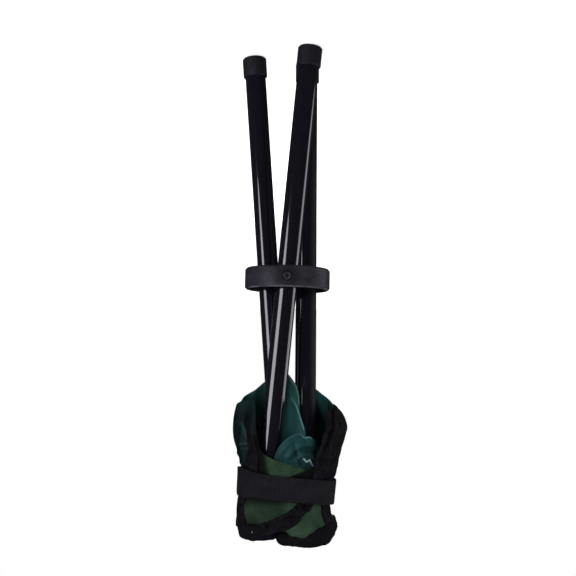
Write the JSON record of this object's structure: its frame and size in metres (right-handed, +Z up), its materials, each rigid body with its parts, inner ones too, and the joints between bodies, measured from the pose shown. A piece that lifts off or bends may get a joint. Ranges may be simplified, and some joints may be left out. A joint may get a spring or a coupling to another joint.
{
  "type": "tripod folding stool",
  "caption": "Folding stool with tubular legs pinned inside a hub ring and a cloth seat, shown folded with its seat strapped around the leg tops.",
  "frame": {"origin": "middle of the folded stool's bounding box, on the floor that the foot caps stand on", "axes": "+Z up from the feet to the seat along the folded legs; -Y towards the front leg's screw; +X to the right seen from the front"},
  "size_m": [0.1166, 0.089, 0.5136],
  "materials": {
    "leg_paint": "gloss black powder coat",
    "cap_plastic": "satin black",
    "ring_plastic": "satin black moulded nylon",
    "screw_steel": "dark plated steel",
    "seat_fabric": "woven green outside, coated teal inside",
    "black_webbing": "woven black"
  },
  "bodies": {
    "hub": {"hub_ring": "ring_plastic", "pivot_screw_front": "screw_steel", "pivot_screw_right": "screw_steel", "pivot_screw_left": "screw_steel", "pivot_washer_front": "screw_steel", "pivot_washer_right": "screw_steel", "pivot_washer_left": "screw_steel", "pivot_nut_front": "screw_steel", "pivot_nut_right": "screw_steel", "pivot_nut_left": "screw_steel", "seat_cloth": "seat_fabric", "edge_binding_front": "black_webbing", "edge_binding_right": "black_webbing", "edge_binding_left": "black_webbing", "closure_strap": "black_webbing", "strap_grip_patch": "black_webbing"},
    "front_leg": {"leg_tube_front": "leg_paint", "foot_cap_front": "cap_plastic", "top_plug_front": "cap_plastic", "leg_saddle_front": "cap_plastic", "corner_pocket_front": "black_webbing"},
    "right_leg": {"leg_tube_right": "leg_paint", "foot_cap_right": "cap_plastic", "top_plug_right": "cap_plastic", "leg_saddle_right": "cap_plastic", "corner_pocket_right": "black_webbing"},
    "left_leg": {"leg_tube_left": "leg_paint", "foot_cap_left": "cap_plastic", "top_plug_left": "cap_plastic", "leg_saddle_left": "cap_plastic", "corner_pocket_left": "black_webbing"}
  },
  "joints": [
    {"name": "front_leg_swing", "type": "hinge", "parent": "hub", "child": "front_leg", "pos_m": [0.0046, -0.02295, 0.2431], "axis": [-0.0087, 1, 0], "range_deg": [0, 33.55], "deforming": ["seat_cloth", "edge_binding_front", "edge_binding_right", "edge_binding_left", "closure_strap", "strap_grip_patch"]},
    {"name": "right_leg_swing", "type": "hinge", "parent": "hub", "child": "right_leg", "pos_m": [0.02417, 0.01165, 0.2431], "axis": [-0.8616, -0.5075, 0], "range_deg": [0, 35.74]},
    {"name": "left_leg_swing", "type": "hinge", "parent": "hub", "child": "left_leg", "pos_m": [-0.01558, 0.0113, 0.2431], "axis": [0.8704, -0.4924, 0], "range_deg": [0, 34.28]}
  ],
  "couplings": [
    {"joint": "right_leg_swing", "follows": "front_leg_swing", "ratio": 1.0623},
    {"joint": "left_leg_swing", "follows": "front_leg_swing", "ratio": 1.0188}
  ]
}
